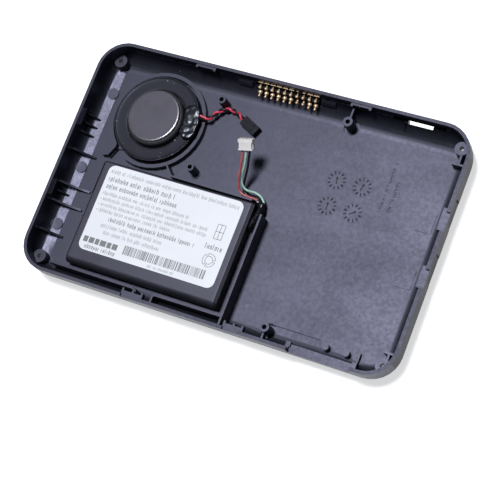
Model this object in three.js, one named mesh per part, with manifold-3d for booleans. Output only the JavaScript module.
// Rear housing half of a portable in-car navigator, opened and lying on its back:
// moulded cover with ribs and bosses, loudspeaker, battery pack with its lead,
// and the gold dock contacts. Millimetres, +Z up out of the open side, +X along
// the long side. Origin: centre of the underside.
import * as THREE from 'three';
import * as BufferGeometryUtils from 'three/addons/utils/BufferGeometryUtils.js';
import Module from 'manifold-3d';

const wasm = await Module();
wasm.setup();

// ---------------------------------------------------------------- dimensions
const LENGTH = 137.0;          // outside, along X
const WIDTH = 85.4;            // outside, along Y
const DEPTH = 10.9;            // underside to rim
const CORNER_R = 10.5;         // outside corner radius in plan
const BACK_R = 5.0;            // rolled edge between side wall and back
const RIM = 1.15;              // wall thickness at the rim
const FLOOR = 1.7;             // floor thickness
const FILLET = 4.6;            // inside roll between wall and floor
const TOP_FILLET = 6.4;        // wider inside roll along the socket wall
const RIB = 0.7;               // general rib thickness

const CORNER_BOSS = { x: 63.5, y: 37.2, r: 2.35, hole: 0.8, top: 5.5 };
const PCB_BOSSES = [
  { x: 24.6, y: 35.9, r: 1.7, ring: 2.75 },
  { x: 23.1, y: -37.2, r: 1.65, ring: 2.7 },
  { x: -20.85, y: 32.4, r: 1.5 },
  { x: -22.45, y: 6.75, r: 1.45 },
];
const PCB_BOSS_TOP = 7.3;
const PCB_BOSS_HOLE = 0.8;

const SPK = { x: -42.2, y: 20.5, r: 15.6 };   // loudspeaker axis and rim radius
const SEAT_IN = 16.3, SEAT_OUT = 17.6, SEAT_TOP = 3.9;

const CELL = { x0: -53.7, x1: 1.2, y0: -36.2, y1: 1.2, z0: 2.05, z1: 6.45 };
const END_X1 = 4.4;            // far side of the battery's end frame

const PIN_PITCH = 2.294;       // dock contact pitch
const PIN_X0 = -9.25;          // first column of contacts
const PIN_UPPER_Z = 7.2, PIN_LOWER_Z = 5.4;
const WIRE_D = 0.8;            // battery lead, each conductor
const SPK_WIRE_D = 0.8;

// ---------------------------------------------------------------- materials
const mat = (color, roughness, metalness = 0) => new THREE.MeshStandardMaterial({ color, roughness, metalness });
const housingPlastic = mat(0x3d3d46, 0.45);
const speakerPlastic = mat(0x33333a, 0.5);
const yokeSteel = mat(0x77757c, 0.35, 0.9);
const magnetGrey = mat(0x4a4a4e, 0.3, 0.9);
const copper = mat(0xa8643a, 0.35, 0.9);
const paperCone = mat(0x222226, 0.7);
const foamBlack = mat(0x1e1e22, 0.95);
const clothBlack = mat(0x17171b, 0.9);
const boardGreen = mat(0x2f5a38, 0.5);
const glueGloss = mat(0x2b2b33, 0.12);
const redPvc = mat(0xc2454f, 0.35);
const blackPvc = mat(0x222226, 0.4);
const greenPvc = mat(0x8fc9ae, 0.35);
const blackNylon = mat(0x2a2a30, 0.45);
const whiteNylon = mat(0xf2f2f0, 0.4);
const tin = mat(0xb9b9bd, 0.3, 1);
const gold = mat(0xd9a45c, 0.25, 1);
const cellGrey = mat(0x55555f, 0.4);
const labelWhite = mat(0xf4f4f6, 0.4);
const tapeYellow = mat(0xd9d6cf, 0.6);

// ------------------------------------------------------------------- helpers
function solidOf(geometry, matrix) {
  const g = geometry.clone();
  if (matrix) g.applyMatrix4(matrix);
  g.deleteAttribute('normal');
  if (g.attributes.uv) g.deleteAttribute('uv');
  const m = BufferGeometryUtils.mergeVertices(g, 1e-4);
  return new wasm.Manifold(new wasm.Mesh({
    numProp: 3,
    vertProperties: new Float32Array(m.attributes.position.array),
    triVerts: new Uint32Array(m.index.array),
  }));
}
function geometryOf(manifold) {
  const m = manifold.getMesh();
  const g = new THREE.BufferGeometry();
  const p = new Float32Array((m.vertProperties.length / m.numProp) * 3);
  for (let i = 0, j = 0; i < m.vertProperties.length; i += m.numProp, j += 3) {
    p[j] = m.vertProperties[i]; p[j + 1] = m.vertProperties[i + 1]; p[j + 2] = m.vertProperties[i + 2];
  }
  g.setAttribute('position', new THREE.BufferAttribute(p, 3));
  g.setIndex(new THREE.BufferAttribute(new Uint32Array(m.triVerts), 1));
  g.computeVertexNormals();
  return g;
}
const T = (x, y, z) => new THREE.Matrix4().makeTranslation(x, y, z);
const RZ = (a) => new THREE.Matrix4().makeRotationZ(a);

function boxSolid(x0, x1, y0, y1, z0, z1) {
  return solidOf(new THREE.BoxGeometry(x1 - x0, y1 - y0, z1 - z0), T((x0 + x1) / 2, (y0 + y1) / 2, (z0 + z1) / 2));
}
function cylSolid(x, y, r, z0, z1, sides = 16, rTop = r) {
  const g = new THREE.CylinderGeometry(rTop, r, z1 - z0, sides);
  g.rotateX(Math.PI / 2);
  return solidOf(g, T(x, y, (z0 + z1) / 2));
}
function roundedRect(w, h, r, seg) {
  const s = new THREE.Shape();
  const pts = [];
  for (const [cx, cy, a0] of [[w / 2 - r, h / 2 - r, 0], [-w / 2 + r, h / 2 - r, 90], [-w / 2 + r, -h / 2 + r, 180], [w / 2 - r, -h / 2 + r, 270]]) {
    for (let i = 0; i <= seg; i++) {
      const a = (a0 + 90 * i / seg) * Math.PI / 180;
      pts.push(new THREE.Vector2(cx + r * Math.cos(a), cy + r * Math.sin(a)));
    }
  }
  s.setFromPoints(pts);
  return s;
}
// Tray form: rounded rectangle whose lower edge rolls in by `roll`.
function traySolid(w, h, r, roll, z0, z1, seg, rollSeg) {
  const g = new THREE.ExtrudeGeometry(roundedRect(w - 2 * roll, h - 2 * roll, r - roll, seg), {
    depth: z1 - z0, bevelEnabled: true, bevelThickness: roll, bevelSize: roll, bevelSegments: rollSeg, steps: 1,
  });
  const s = solidOf(g, T(0, 0, z0 + roll));
  return s.subtract(boxSolid(-w, w, -h, h, z1, z1 + 40));
}
function plateSolid(points, z0, z1) {
  const s = new THREE.Shape(points.map(([x, y]) => new THREE.Vector2(x, y)));
  return solidOf(new THREE.ExtrudeGeometry(s, { depth: z1 - z0, bevelEnabled: false }), T(0, 0, z0));
}
// Wall along a polyline in plan, constant thickness.
function wallSolid(line, t, z0, z1) {
  let out = null;
  for (let i = 0; i + 1 < line.length; i++) {
    const [x0, y0] = line[i], [x1, y1] = line[i + 1];
    const len = Math.hypot(x1 - x0, y1 - y0), a = Math.atan2(y1 - y0, x1 - x0);
    const m = T((x0 + x1) / 2, (y0 + y1) / 2, (z0 + z1) / 2).multiply(RZ(a));
    const b = solidOf(new THREE.BoxGeometry(len + t * 0.85, t, z1 - z0), m);
    out = out ? out.add(b) : b;
  }
  return out;
}
// Gusset in the XZ plane: profile points (x, z), thickness t centred on y.
function gussetX(points, y, t) {
  const s = new THREE.Shape(points.map(([x, z]) => new THREE.Vector2(x, z)));
  const g = new THREE.ExtrudeGeometry(s, { depth: t, bevelEnabled: false });
  g.rotateX(Math.PI / 2);
  return solidOf(g, T(0, y + t / 2, 0));
}
// Prism in the YZ plane: profile points (y, z) swept from x0 to x1.
function prismX(points, x0, x1) {
  const s = new THREE.Shape(points.map(([y, z]) => new THREE.Vector2(y, z)));
  const g = new THREE.ExtrudeGeometry(s, { depth: x1 - x0, bevelEnabled: false });
  g.applyMatrix4(new THREE.Matrix4().set(0, 0, 1, 0, 1, 0, 0, 0, 0, 1, 0, 0, 0, 0, 0, 1));
  return solidOf(g, T(x0, 0, 0));
}
// Prism in the XZ plane: profile points (x, z) swept from y0 to y1.
function prismY(points, y0, y1) {
  const s = new THREE.Shape(points.map(([x, z]) => new THREE.Vector2(x, z)));
  const g = new THREE.ExtrudeGeometry(s, { depth: y1 - y0, bevelEnabled: false });
  g.rotateX(Math.PI / 2);
  return solidOf(g, T(0, y1, 0));
}
function lathe(points, sides) {
  const g = new THREE.LatheGeometry(points.map(([r, z]) => new THREE.Vector2(r, z)), sides);
  g.rotateX(Math.PI / 2);
  return g;
}
function tube(points, r, steps, sides = 8) {
  const path = new THREE.CatmullRomCurve3(points.map((p) => new THREE.Vector3(...p)), false, 'centripetal');
  const s = new THREE.Shape();
  s.setFromPoints(Array.from({ length: sides }, (_, i) => new THREE.Vector2(r * Math.cos(2 * Math.PI * i / sides), r * Math.sin(2 * Math.PI * i / sides))));
  return new THREE.ExtrudeGeometry(s, { steps, extrudePath: path, bevelEnabled: false });
}

// The same route carried d to its left in plan.
function beside(points, d) {
  return points.map((p, i) => {
    const q0 = points[Math.max(0, i - 1)], q1 = points[Math.min(points.length - 1, i + 1)];
    const dx = q1[0] - q0[0], dy = q1[1] - q0[1], l = Math.hypot(dx, dy);
    return [p[0] - d * dy / l, p[1] + d * dx / l, p[2]];
  });
}

const group = new THREE.Group();
function put(name, geometry, material, x = 0, y = 0, z = 0, rz = 0) {
  const m = new THREE.Mesh(geometry, material);
  m.name = name;
  m.position.set(x, y, z);
  m.rotation.z = rz;
  group.add(m);
  return m;
}

// ---------------------------------------------------------------- rear cover
{
  let cover = traySolid(LENGTH, WIDTH, CORNER_R, BACK_R, 0, DEPTH, 7, 4);
  const cavity = traySolid(LENGTH - 2 * RIM, WIDTH - 2 * RIM, CORNER_R - RIM, FILLET, FLOOR, DEPTH + 1, 7, 4);
  // the roll along the left side ends in a broad shallow facet
  const leftRoll = prismY([[-62.5, 1.81], [-65.3, 2.30], [-66.2, 3.0], [-66.9, 4.1], [-67.28, 5.4], [-67.34, 6.4], [-62.5, 6.4]], -36.0, 33.6);
  cover = cover.subtract(cavity.add(leftRoll));
  // everything that is grown on the inside is trimmed to the outer form
  const outer = traySolid(LENGTH - 0.6, WIDTH - 0.6, CORNER_R - 0.3, BACK_R - 0.3, 0.3, DEPTH, 7, 4);
  const grow = [];
  const f = FLOOR - 0.3;

  // corner bosses with their braces
  for (const sx of [-1, 1]) for (const sy of [-1, 1]) {
    grow.push(cylSolid(sx * CORNER_BOSS.x, sy * CORNER_BOSS.y, CORNER_BOSS.r, f, CORNER_BOSS.top, 20));
  }
  grow.push(boxSolid(62.0, 68, 31.4, 32.1, f, 5.5), boxSolid(63.8, 64.5, 31.9, 35.2, f, 5.4));
  grow.push(boxSolid(62.3, 68, -33.2, -32.5, f, 5.5), boxSolid(63.9, 64.6, -35.4, -32.7, f, 5.4));

  // board bosses with their short braces
  for (const b of PCB_BOSSES) grow.push(cylSolid(b.x, b.y, b.r, 0.9, PCB_BOSS_TOP, 18));
  grow.push(boxSolid(24.3, 24.9, 37.2, 42, f, 6.2), boxSolid(22.8, 23.4, -42, -38.5, f, 6.2));

  // speaker seat ring, open at the lower left and at the terminals
  let ring = cylSolid(SPK.x, SPK.y, SEAT_OUT, f, SEAT_TOP, 40).subtract(cylSolid(SPK.x, SPK.y, SEAT_IN, f - 1, SEAT_TOP + 1, 40));
  ring = ring.subtract(boxSolid(-53.4, -48.9, 1, 9.5, f - 1, 9));
  grow.push(ring);
  grow.push(wallSolid([[-56.9, 3.7], [-55.2, 4.2], [-53.9, 7.1]], 0.6, f, 3.7));

  // battery bay
  grow.push(boxSolid(8.0, 8.75, -42, -2.4, f, 8.3));                       // long rib beside the pack's end
  grow.push(wallSolid([[-31.5, 5.6], [-28.4, 2.25], [2.3, 2.0]], 0.6, f, 6.0));
  grow.push(wallSolid([[-57.6, -38.3], [-25.3, -38.3], [-24.1, -38.8], [-23.6, -39.9]], 0.65, f, 7.6));
  grow.push(wallSolid([[-17.4, -41.2], [-17.4, -39.0], [-16.9, -38.4], [8.2, -38.3]], 0.65, f, 7.6));
  grow.push(boxSolid(-55.0, -54.35, -10.6, 0.9, f, 5.0), boxSolid(-55.0, -54.35, -19.3, -17.0, f, 4.4));

  grow.push(prismY([[-61.9, 1.4], [-61.9, 1.7], [-65.3, 2.30], [-65.9, 2.6], [-65.9, 1.4]], -36.4, 34.4));

  // braces between the left wall and the battery bay
  const brace = (y, xEnd, t) => gussetX([[-67.9, 1.0], [xEnd, 1.0], [xEnd, 2.6], [-62.4, 4.3], [-66.2, 7.5], [-67.9, 6.7]], y, t);
  grow.push(brace(1.8, -59.6, 0.65), brace(-10.5, -56.6, 0.65), brace(-17.4, -57.0, 0.65), brace(-28.2, -59.8, 0.65));
  const fin = (y) => gussetX([[-67.9, 2.0], [-63.6, 2.0], [-64.9, 4.6], [-66.8, 6.6], [-67.9, 6.0]], y, 0.5);
  grow.push(fin(15.4), fin(12.2), fin(8.9), fin(-13.6));

  // round ejector lands on the left roll
  for (const [x, y] of [[-63.3, 26.0], [-63.7, -2.6], [-63.9, -24.2]]) grow.push(cylSolid(x, y, 2.1, 1.2, 2.28, 18));

  // snap catches along the walls
  const catchTop = (x0, x1) => boxSolid(x0, x1, 40.75, 42.2, 8.2, 10.5)
    .add(boxSolid(x0, x0 + 0.8, 40.3, 42.2, 8.2, 10.5)).add(boxSolid(x1 - 0.8, x1, 40.3, 42.2, 8.2, 10.5));
  grow.push(catchTop(-33.0, -25.5), catchTop(24.7, 32.0));
  const catchLeft = (y0, y1) => prismY([[-68.2, 7.9], [-66.5, 8.2], [-66.45, 9.3], [-67.3, 9.0], [-68.2, 8.9]], y0, y1);
  grow.push(catchLeft(10.0, 16.4), catchLeft(-16.4, -10.9));
  grow.push(boxSolid(65.8, 68.2, 8.4, 15.9, 6.4, 9.3), boxSolid(65.8, 68.2, -11.1, -3.8, 6.4, 9.3));
  const catchBottom = (x0, x1) => boxSolid(x0, x1, -42.2, -40.2, 7.4, 9.4)
    .add(boxSolid(x0, x0 + 0.7, -42.0, -39.4, 7.4, 9.4)).add(boxSolid((x0 + x1) / 2 - 0.2, (x0 + x1) / 2 + 0.5, -42.0, -39.4, 7.4, 9.4))
    .add(boxSolid(x1 - 0.7, x1, -42.0, -39.4, 7.4, 9.4));
  grow.push(catchBottom(-27.6, -19.8), catchBottom(10.3, 17.4));

  // power-key opening: thickened sill, guide pegs and stop
  grow.push(boxSolid(33.2, 55.8, -42.2, -39.9, 5.6, 7.9));
  grow.push(boxSolid(32.4, 34.0, -42.2, -39.4, 5.6, 8.8), boxSolid(55.0, 56.6, -42.2, -39.4, 5.6, 8.8));
  grow.push(cylSolid(43.5, -36.7, 1.15, 1.2, 4.3, 12), cylSolid(50.6, -36.7, 1.15, 1.2, 4.3, 12));
  grow.push(boxSolid(54.4, 55.0, -38.4, -35.2, f, 3.2));

  // wider roll along the socket wall, stopped round the loudspeaker and the supply socket
  const topRoll = [];
  for (let i = 0; i <= 7; i++) {
    const a = (80 * i / 7) * Math.PI / 180;
    topRoll.push([35.15 + TOP_FILLET * Math.sin(a), FLOOR + TOP_FILLET * (1 - Math.cos(a))]);
  }
  grow.push(prismX([[35.15, 1.4], ...topRoll, [42.3, 7.2], [42.3, 1.4]], -63.0, 63.0)
    .subtract(cylSolid(SPK.x, SPK.y, SEAT_IN, 0, 12, 40)).subtract(boxSolid(42.6, 52.9, 38.5, 43, 2.0, 9)));
  // sloping pads beside the dock contacts
  grow.push(prismX([[40.0, 4.6], [40.2, 5.6], [40.9, 6.4], [42.2, 6.9], [42.2, 4.6]], -18.0, -12.8));
  grow.push(prismX([[40.0, 4.6], [40.2, 5.6], [40.9, 6.4], [42.2, 6.9], [42.2, 4.6]], 12.9, 18.1));
  // low pads on the floor beside the right wall
  grow.push(boxSolid(57.2, 62.4, 8.2, 15.4, f, 1.95), boxSolid(56.6, 62.4, -11.1, -3.9, f, 1.95));

  let inner = grow[0];
  for (let i = 1; i < grow.length; i++) inner = inner.add(grow[i]);
  cover = cover.add(inner.intersect(outer));

  const cut = [];
  for (const sx of [-1, 1]) for (const sy of [-1, 1]) {
    cut.push(cylSolid(sx * CORNER_BOSS.x, sy * CORNER_BOSS.y, CORNER_BOSS.hole, -1, 8, 12));
    cut.push(cylSolid(sx * CORNER_BOSS.x, sy * CORNER_BOSS.y, 1.75, -1, 3.0, 16));
  }
  for (const b of PCB_BOSSES) {
    cut.push(cylSolid(b.x, b.y, PCB_BOSS_HOLE, 2.4, PCB_BOSS_TOP + 1, 12));
    if (b.ring) cut.push(cylSolid(b.x, b.y, b.ring, 1.0, 3.4, 18).subtract(cylSolid(b.x, b.y, b.r, 0.5, 4.4, 18)));
  }
  // pocket between the speaker seat and the battery bay
  cut.push(plateSolid([[-56.4, 3.3], [-54.8, 3.5], [-53.2, 7.4], [-50.4, 7.7], [-49.0, 5.4], [-49.3, 3.3]], 0.8, 2.2));
  // sound slots under the loudspeaker
  for (let i = -4; i <= 4; i++) {
    const half = Math.sqrt(11.3 * 11.3 - (i * 2.4) ** 2);
    cut.push(boxSolid(SPK.x - half, SPK.x + half, SPK.y + i * 2.4 - 0.5, SPK.y + i * 2.4 + 0.5, -1, 3));
  }
  // supply socket opening in the top wall, with its inner recess
  cut.push(boxSolid(43.4, 52.1, 40.9, 45, 2.4, 5.3), boxSolid(38.7, 57.3, 41.2, 42.05, 4.8, 8.2));
  // windows for the dock contacts
  cut.push(boxSolid(-11.4, 12.5, 39.7, 42.0, 3.6, 8.6));
  // rim notches at the right and bottom catches, and the power-key opening
  cut.push(boxSolid(66.5, 70, 7.9, 14.4, 9.7, 12), boxSolid(66.5, 70, -10.9, -5.0, 9.7, 12));
  cut.push(boxSolid(-26.9, -20.0, -44, -40.6, 10.1, 12), boxSolid(10.9, 16.6, -44, -40.6, 10.1, 12));
  cut.push(boxSolid(33.6, 55.4, -44, -41.0, 7.9, 12));
  // shallow grip recesses on the outside of the right wall
  cut.push(boxSolid(67.95, 70, 10.8, 20.0, 2.2, 8.2), boxSolid(67.95, 70, -8.4, 1.1, 2.2, 8.2));
  let all = cut[0];
  for (let i = 1; i < cut.length; i++) all = all.add(cut[i]);
  cover = cover.subtract(all);
  put('rear_cover', geometryOf(cover), housingPlastic);
}

// --------------------------------------------------------------- loudspeaker
const spk = (name, pts, sides, material) => put(name, lathe(pts, sides), material, SPK.x, SPK.y, 0);
put('speaker_grille_cloth', (() => { const g = new THREE.CylinderGeometry(12.5, 12.5, 0.15, 32); g.rotateX(Math.PI / 2); return g; })(), clothBlack, SPK.x, SPK.y, 1.86);
spk('speaker_gasket', [[12.9, 1.78], [15.4, 1.78], [15.4, 2.38], [12.9, 2.38], [12.9, 1.78]], 32, foamBlack);
spk('speaker_frame', [[13.3, 2.48], [15.6, 2.48], [15.6, 4.95], [15.45, 5.3], [15.1, 5.3], [14.95, 5.0], [12.1, 4.9], [10.6, 4.9], [10.6, 4.25], [12.7, 4.25], [13.3, 3.7], [13.3, 2.48]], 36, speakerPlastic);
spk('speaker_yoke', [[0, 7.2], [8.6, 7.2], [8.6, 6.6], [9.4, 6.3], [9.4, 4.4], [10.25, 4.4], [10.25, 6.5], [9.55, 6.9], [9.35, 7.75], [9.1, 8.0], [0, 8.0]], 36, yokeSteel);
spk('speaker_magnet', [[0, 5.3], [7.0, 5.3], [7.0, 7.1], [0, 7.1]], 24, magnetGrey);
spk('speaker_top_plate', [[0, 4.5], [7.2, 4.5], [7.2, 5.2], [0, 5.2]], 24, yokeSteel);
spk('speaker_voice_coil', [[7.85, 3.75], [8.45, 3.75], [8.45, 5.2], [7.85, 5.2], [7.85, 3.75]], 24, copper);
spk('speaker_diaphragm', [[0, 2.75], [4.5, 2.95], [7.6, 3.4], [8.6, 3.4], [9.6, 2.95], [11.4, 2.9], [12.9, 3.1], [12.9, 3.35], [11.4, 3.15], [9.7, 3.2], [8.7, 3.65], [7.5, 3.65], [4.4, 3.2], [0, 3.0]], 28, paperCone);

const TERM_A = 9 * Math.PI / 180;
put('speaker_terminal_board', new THREE.BoxGeometry(3.2, 8.4, 0.6),
  boardGreen, SPK.x + 12.6 * Math.cos(TERM_A), SPK.y + 12.6 * Math.sin(TERM_A), 5.38, TERM_A);
{
  const pol = (r, deg) => { const a = deg * Math.PI / 180; return new THREE.Vector2(r * Math.cos(a), r * Math.sin(a)); };
  const outline = [pol(11.3, -14), pol(13.2, -19), pol(15.6, -15), pol(16.1, -8), pol(15.9, 0), pol(16.3, 8), pol(16.0, 16), pol(16.2, 24), pol(14.6, 31), pol(12.4, 33), pol(11.2, 27), pol(11.0, 14), pol(11.0, 2)];
  const g = new THREE.ExtrudeGeometry(new THREE.Shape(outline), { depth: 0.55, bevelEnabled: true, bevelThickness: 0.3, bevelSize: 0.3, bevelSegments: 2, steps: 1 });
  put('speaker_glue', g, glueGloss, SPK.x, SPK.y, 6.05);
}

// twisted pair to its plug
const SPK_LEAD = [[-25.6, 24.95, 5.45], [-24.7, 24.9, 5.0], [-23.7, 25.6, 4.7], [-22.8, 27.05, 4.3], [-21.8, 28.55, 4.0], [-20.5, 29.85, 3.8], [-18.8, 30.6, 3.6], [-16.8, 30.7, 3.4], [-14.6, 29.95, 3.3], [-12.5, 28.75, 3.2]];
const RED_SPK = beside(SPK_LEAD, 0.5), BLACK_SPK = beside(SPK_LEAD, -0.5);
put('speaker_wire_red', tube(RED_SPK, SPK_WIRE_D / 2, 12), redPvc);
put('speaker_wire_black', tube(BLACK_SPK, SPK_WIRE_D / 2, 12), blackPvc);

const PLUG_A = -25.5 * Math.PI / 180;
const PLUG = { x: -8.95, y: 26.95, z: 1.78 };
{
  let p = boxSolid(-3.4, 3.4, -1.75, 1.75, 0, 2.6);
  p = p.add(boxSolid(-2.2, 1.6, -1.3, -0.5, 2.4, 3.0)).add(boxSolid(-2.2, 1.6, 0.5, 1.3, 2.4, 3.0));
  p = p.subtract(boxSolid(0.6, 4, -1.2, -0.35, 0.7, 1.9)).subtract(boxSolid(0.6, 4, 0.35, 1.2, 0.7, 1.9));
  put('speaker_plug', geometryOf(p), blackNylon, PLUG.x, PLUG.y, PLUG.z, PLUG_A);
  const c = Math.cos(PLUG_A), s = Math.sin(PLUG_A);
  for (const [i, yy] of [[1, -0.775], [2, 0.775]]) {
    put(`speaker_plug_contact_${i}`, new THREE.BoxGeometry(1.9, 0.35, 0.6), tin, PLUG.x + 1.9 * c - yy * s, PLUG.y + 1.9 * s + yy * c, PLUG.z + 1.3, PLUG_A);
  }
}

// ------------------------------------------------------------- dock contacts
{
  let block = boxSolid(-11.1, 12.2, 39.95, 41.7, 3.9, 6.3).add(boxSolid(-11.1, 12.2, 41.1, 41.7, 6.2, 8.3));
  put('dock_contact_block', geometryOf(block), blackNylon);
  // contacts lie along Y: bulb-nosed ones above, collared ones with a ball end below
  const turned = (profile) => {
    const g = new THREE.LatheGeometry(profile.map(([r, y]) => new THREE.Vector2(r, y)), 8);
    g.rotateX(Math.PI);           // nose along -Y
    return g;
  };
  const upper = [[0, 0], [0.2, 0], [0.26, 0.35], [0.5, 0.85], [0.56, 1.15], [0.42, 1.45], [0, 1.6]];
  const lower = [[0, 0], [0.32, 0], [0.32, 0.3], [0.7, 0.45], [0.72, 1.15], [0.5, 1.35], [0.26, 1.6], [0.26, 1.8], [0.42, 2.1], [0.3, 2.45], [0, 2.55]];
  const small = [[0, 0], [0.3, 0], [0.3, 0.5], [0.24, 0.8], [0.3, 1.0], [0.5, 1.35], [0.44, 1.7], [0, 1.9]];
  for (let i = 0; i < 10; i++) {
    put(`dock_contact_upper_${i + 1}`, turned(upper), gold, PIN_X0 + PIN_PITCH * i, 40.95, PIN_UPPER_Z);
  }
  for (let i = 0; i < 10; i++) {
    put(`dock_contact_lower_${i + 1}`, turned(i === 6 || i === 7 ? small : lower), gold, PIN_X0 + PIN_PITCH * i, 39.8, PIN_LOWER_Z);
  }
}

// -------------------------------------------------------------- battery pack
{
  const { x0, x1, y0, y1, z0, z1 } = CELL;
  const h = z1 - z0;
  const section = (ya, yb, za, zb, rBig, rSmall) => {
    const pts = [];
    const arc = (cy, cz, r, a0, a1, n) => { for (let i = 0; i <= n; i++) { const a = (a0 + (a1 - a0) * i / n) * Math.PI / 180; pts.push([cy + r * Math.cos(a), cz + r * Math.sin(a)]); } };
    arc(yb - rSmall, za + rSmall, rSmall, -90, 0, 3);
    arc(yb - rSmall, zb - rSmall, rSmall, 0, 90, 3);
    arc(ya + rBig, zb - rBig, rBig, 90, 180, 5);
    arc(ya + rBig, za + rBig, rBig, 180, 270, 5);
    return pts;
  };
  put('battery_cell', geometryOf(prismX(section(y0, y1, z0, z1, h / 2 - 0.05, 0.6), x0, x1)), cellGrey);
  let end = prismX(section(y0 + 0.1, y1 - 0.1, z0 + 0.05, z1 - 0.05, h / 2 - 0.15, 0.6), x1 + 0.12, END_X1);
  end = end.subtract(boxSolid(x1, 3.4, y0 + 2.5, y1 - 1.6, z0 + 0.8, z1 - 0.8));
  end = end.subtract(boxSolid(3.0, 6, -7.4, -4.9, 2.9, 5.4));
  put('battery_end_frame', geometryOf(end), blackNylon);
  put('battery_protection_board', new THREE.BoxGeometry(0.8, 26, 2.2), boardGreen, 2.5, -17.2, 4.25);
  const label = roundedRect(51.9, 31.0, 2.4, 5);
  put('battery_label', new THREE.ExtrudeGeometry(label, { depth: 0.1, bevelEnabled: false }), labelWhite, -24.85, -15.25, z1 + 0.03);
  put('battery_adhesive_pad', new THREE.BoxGeometry(36, 22, 0.2), tapeYellow, -26, -16, 1.88);
}
const CONN = { x: -3.11, y: 17.63, z: 14.37, a: 12 * Math.PI / 180, up: 32 * Math.PI / 180 };   // held up by its own stiff lead
const leads = {
  red: [[4.88, -5.8, 5.2], [5.5, -4.5, 5.2], [6.05, -2.8, 5.2], [6.3, -0.9, 5.15], [6.05, 0.8, 5.1], [5.05, 2.1, 5.1], [3.2, 2.66, 5.15], [1.2, 2.78, 5.3], [-1.0, 2.95, 5.4], [-2.63, 3.61, 5.65], [-3.54, 5.0, 6.5], [-3.71, 7.05, 8.1], [-3.68, 9.63, 9.9], [-3.7, 12.55, 11.7], [-3.96, 15.39, 13.1]],
  green: [[4.88,-5.8,4.1],[5.5,-4.5,4.1],[6.15,-2.8,4.1],[6.5,-0.9,4.1],[6.5,1.1,4.15],[5.9,2.9,4.3],[4.4,4.2,4.6],[2.3,4.85,4.9],[0.2,4.87,4.85],[-1.3,4.98,5.05],[-2.5,5.85,5.75],[-3.1,7.2,6.75],[-3.22,8.75,7.95],[-2.73,10.67,9.7],[-2.52,13.25,11.6],[-2.69,15.64,13.1]],
  black: [[4.88, -5.8, 3.0], [5.5, -4.5, 3.0], [6.05, -2.8, 3.0], [6.3, -0.9, 3.0], [6.05, 0.8, 3.05], [5.05, 2.3, 3.1], [3.2, 3.05, 3.2], [1.2, 3.35, 3.2], [-0.9, 3.75, 3.25], [-2.37, 4.82, 3.7], [-2.67, 6.69, 5.0], [-2.2, 8.94, 7.1], [-1.66, 11.19, 9.4], [-1.52, 13.61, 11.5], [-1.49, 15.88, 13.1]],
};
put('battery_wire_red', tube(leads.red, WIRE_D / 2, 16), redPvc);
put('battery_wire_black', tube(leads.black, WIRE_D / 2, 16), blackPvc);
put('battery_wire_green', tube(leads.green, WIRE_D / 2, 16), greenPvc);
{
  let c = boxSolid(-2.8, 2.8, -2.1, 2.1, 0, 2.8);
  c = c.subtract(boxSolid(-2.0, 2.0, 2.0, 3, 2.1, 3)).subtract(boxSolid(-3, -2.45, -1.6, 1.0, 1.4, 3)).subtract(boxSolid(2.45, 3, -1.6, 1.0, 1.4, 3));
  for (const xx of [-1.25, 0, 1.25]) c = c.subtract(boxSolid(xx - 0.4, xx + 0.4, -0.4, 3, 0.9, 1.9));
  const raise = new THREE.Matrix4().makeRotationX(CONN.up).multiply(T(0, 0, -1.4));
  put('battery_connector', geometryOf(c).applyMatrix4(raise), whiteNylon, CONN.x, CONN.y, CONN.z, CONN.a);
  [-1.25, 0, 1.25].forEach((xx, i) => {
    const g = new THREE.BoxGeometry(0.35, 1.7, 0.6);
    g.applyMatrix4(T(xx, 0.8, 1.4)).applyMatrix4(raise);
    put(`battery_connector_contact_${i + 1}`, g, tin, CONN.x, CONN.y, CONN.z, CONN.a);
  });
}

export default group;
